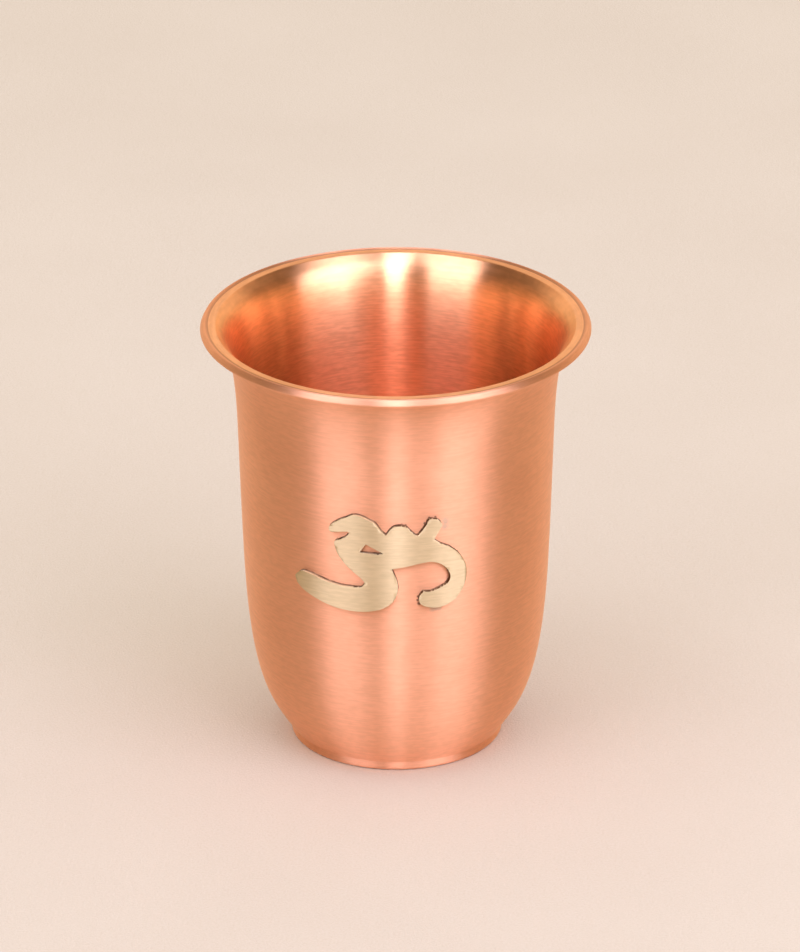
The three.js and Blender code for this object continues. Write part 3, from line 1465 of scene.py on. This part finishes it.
@dataclass(frozen=True)
class SoftBox:
    """A soft lamp beside the camera. Angles are in degrees, lengths in metres.

    It stands at an azimuth to the right of the camera and shows between a low and a high angle
    above the floor. It leans from upright towards the cup and is rolled about the way it faces.
    Its glow is what the metals mirror and its spill is what lights the cloth.
    """

    name: str
    azimuth: float
    low: float
    high: float
    width: float
    lean: float
    roll: float
    glow: float
    spill: float
    distance: float
    colour: Colour = (0.96, 1.0, 1.38)

    @property
    def height(self) -> float:
        """How long the lamp is.

        Returns:
            The length from its lower edge to its upper one.
        """
        lean = math.radians(self.lean)
        low, high = math.tan(math.radians(self.low)), math.tan(math.radians(self.high))
        return self.distance * (high - low) / (math.cos(lean) + math.sin(lean) * high)


@dataclass
class Studio:
    """The camera, the pale floor, the surround and the soft lamps.

    Angles are in degrees and lengths in metres, apart from the photograph's size, its focal
    length and the place of the cup's axis in it, which are in pixels. The surround is dim in
    front of the cup, bright behind it, warm near the floor and pale to the camera. Its colours
    change over the spans, which say how far a direction points behind the cup, to the right of
    the camera, or up.
    """

    distance: float = 2.0
    turn: float = 6.67
    rise: float = 24.69
    roll: float = -0.16
    aim_height: float = 0.047
    focal_px: float = 9458.0
    frame_px: tuple[int, int] = (800, 952)
    axis_px: Point = (396.28, 524.36)
    sensor: float = 36.0
    clip: Point = (0.05, 50.0)
    floor_size: float = 3.0
    lamp_lift: float = 0.05
    spill_back: float = 0.03
    boxes: tuple[SoftBox, ...] = (
        SoftBox("left_box", azimuth=-47.5, low=7.8, high=79.5, width=0.64, lean=35.0, roll=16.0,
                glow=2.95, spill=1.0, distance=1.28),
        SoftBox("middle_strip", azimuth=-0.8, low=11.0, high=82.0, width=0.29, lean=45.0, roll=3.0,
                glow=5.4, spill=0.0, distance=1.6),
        SoftBox("right_box", azimuth=44.1, low=11.5, high=64.0, width=0.87, lean=35.0, roll=20.0,
                glow=3.85, spill=2.2, distance=1.28),
        SoftBox("top_panel", azimuth=10.0, low=50.0, high=86.0, width=1.4, lean=70.0, roll=0.0,
                glow=0.0, spill=1.0, distance=1.0),
    )
    dim: Colour = (0.20, 0.14, 0.10)
    bright: Colour = (1.02, 0.84, 0.66)
    behind_span: Point = (0.3, 0.7)
    level_left: Colour = (0.87, 0.67, 0.30)
    level_right: Colour = (1.28, 0.90, 0.41)
    side_span: Point = (-0.8, 0.8)
    level_span: Point = (0.05, 0.28)
    ambient: Colour = (1.40, 1.42, 1.29)
    pale: Colour = (0.84, 0.70, 0.60)

    def towards(self, azimuth: float, rise: float) -> Vector:
        """The direction from the cup to a place round it.

        Args:
            azimuth: How far the place is to the right of the camera.
            rise: How far it is above the floor.

        Returns:
            A vector of length 1.
        """
        around, up = math.radians(self.turn + azimuth), math.radians(rise)
        level = math.cos(up)
        return Vector((math.sin(around) * level, -math.cos(around) * level, math.sin(up)))

    def camera(self) -> None:
        """Places the camera where the photograph was taken from."""
        lens = bpy.data.cameras.new("camera")
        lens.sensor_fit = "AUTO"
        lens.sensor_width = self.sensor
        lens.lens = self.focal_px / max(self.frame_px) * self.sensor
        lens.clip_start, lens.clip_end = self.clip
        back = self.towards(0.0, self.rise)
        place = Vector((0, 0, self.aim_height)) + back * self.distance
        aim = (-back).to_track_quat("-Z", "Y").to_matrix().to_4x4()
        off_x, off_y = (
            math.atan((axis - size / 2) / self.focal_px)
            for axis, size in zip(self.axis_px, self.frame_px)
        )
        off = Matrix.Rotation(off_x, 4, "Y") @ Matrix.Rotation(off_y, 4, "X")
        tilt = Matrix.Rotation(math.radians(self.roll), 4, "Z")
        holder = in_scene("camera", lens)
        holder.matrix_world = Matrix.Translation(place) @ aim @ tilt @ off
        bpy.context.scene.camera = holder

    def floor(self) -> None:
        """Makes the pale floor."""
        work = bmesh.new()
        bmesh.ops.create_grid(work, x_segments=2, y_segments=2, size=self.floor_size)
        made = bpy.data.meshes.new("floor")
        work.to_mesh(made)
        work.free()
        floor = shown(made, "floor", PaleCloth().material())

    def lamp(self, box: SoftBox) -> None:
        """Adds a soft box: one light that the metals mirror and one that falls on the cloth.

        Args:
            box: Its sizes, place and strengths.
        """
        lean = math.radians(box.lean)
        out = self.towards(box.azimuth, 0.0)
        up = Vector((0, 0, 1)) * math.cos(lean) - out * math.sin(lean)
        rise = self.lamp_lift + box.distance * math.tan(math.radians(box.low))
        place = out * box.distance + Vector((0, 0, rise)) + up * box.height / 2
        across = up.cross(out).normalized()
        back = across.cross(up)
        rolled = Matrix.Rotation(math.radians(box.roll), 4, "Z")
        faces = Matrix((across, up, back)).transposed().to_4x4() @ rolled
        # The spill stands a little behind the glow, because lamps in one plane hide each other.
        for use, strength, gap in (
            (Use.GLOW, box.glow, 0.0), (Use.SPILL, box.spill, self.spill_back),
        ):
            if not strength:
                continue
            light = bpy.data.lights.new(f"{box.name}_{use.value}", "AREA")
            light.shape = "RECTANGLE"
            light.size, light.size_y = box.width, box.height
            light.energy = strength * math.pi * box.width * box.height
            light.color = box.colour
            holder = in_scene(light.name, light)
            holder.matrix_world = Matrix.Translation(place + gap * back) @ faces
            holder.visible_diffuse = use is Use.SPILL
            holder.visible_glossy = use is Use.GLOW

    def surround(self) -> None:
        """Makes the surround, which the metals mirror and which fills the shadows."""
        world = bpy.data.worlds.new("surround")
        bpy.context.scene.world = world
        world.use_nodes = True
        graph = Graph(world.node_tree)
        way = graph.add("ShaderNodeTexCoord").outputs["Generated"]
        behind, right = (
            graph.vector("DOT_PRODUCT", way, tuple(self.towards(azimuth, 0.0)))["Value"]
            for azimuth in (180.0, 90.0)
        )
        high = graph.blend(graph.spread(behind, self.behind_span), self.dim, self.bright)
        level = graph.blend(
            graph.spread(right, self.side_span), self.level_left, self.level_right,
        )
        low = graph.spread(graph.split(way)["Z"], self.level_span, (1.0, 0.0))
        reflected = graph.blend(low, high, level)
        path = graph.add("ShaderNodeLightPath").outputs
        # What the cup mirrors onto the cloth is as bright as the light it keeps from the cloth.
        straight = graph.math("LESS_THAN", path["Diffuse Depth"], 0.5)
        mirrored = graph.math("MULTIPLY", path["Is Glossy Ray"], straight)
        colour = graph.blend(mirrored, self.ambient, reflected)
        sky = world.node_tree.nodes["Background"]
        seen = graph.blend(path["Is Camera Ray"], colour, self.pale)
        graph.feed(sky.inputs["Color"], seen)

    def build(self) -> None:
        """Makes the camera, the floor, the surround and the lamps."""
        self.camera()
        self.floor()
        self.surround()
        for box in self.boxes:
            self.lamp(box)


# The scene


def placed(piece: bpy.types.Object, node: str | None = None) -> None:
    """Lets a piece ride on the cup and the node that it stands for.

    Args:
        piece: The new piece.
        node: The node that it replaces, if it replaces one.
    """
    if node:
        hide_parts(node)
    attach(piece, "root")
    log.info("made %s", piece.name)


def main() -> None:
    """Builds the cup, the sign, its solder and the studio."""
    logging.basicConfig(level=logging.INFO)
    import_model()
    bpy.context.scene.view_settings.view_transform = "Standard"
    cup = SpunCup()
    sign = BrassSign(cup)
    brushing, spotting = Brushing().group(), RaggedSpot().group()
    copper = COPPER.material(brushing, spotting, sign.spots())
    brass = BRASS.material(brushing, spotting)
    solder = SolderAndGapShade().material()
    cup_mesh = cup.mesh(SpunSheet().group(), copper)
    placed(shown(cup_mesh, "spun_cup", copper), "cup_body")
    placed(shown(sign.mesh(), "brass_sign", brass), "om_sign")
    seam_mesh = sign.seam(SolderSeam().group(), solder)
    placed(shown(seam_mesh, "solder_seam", solder))
    Studio().build()


if __name__ == "__main__":
    main()
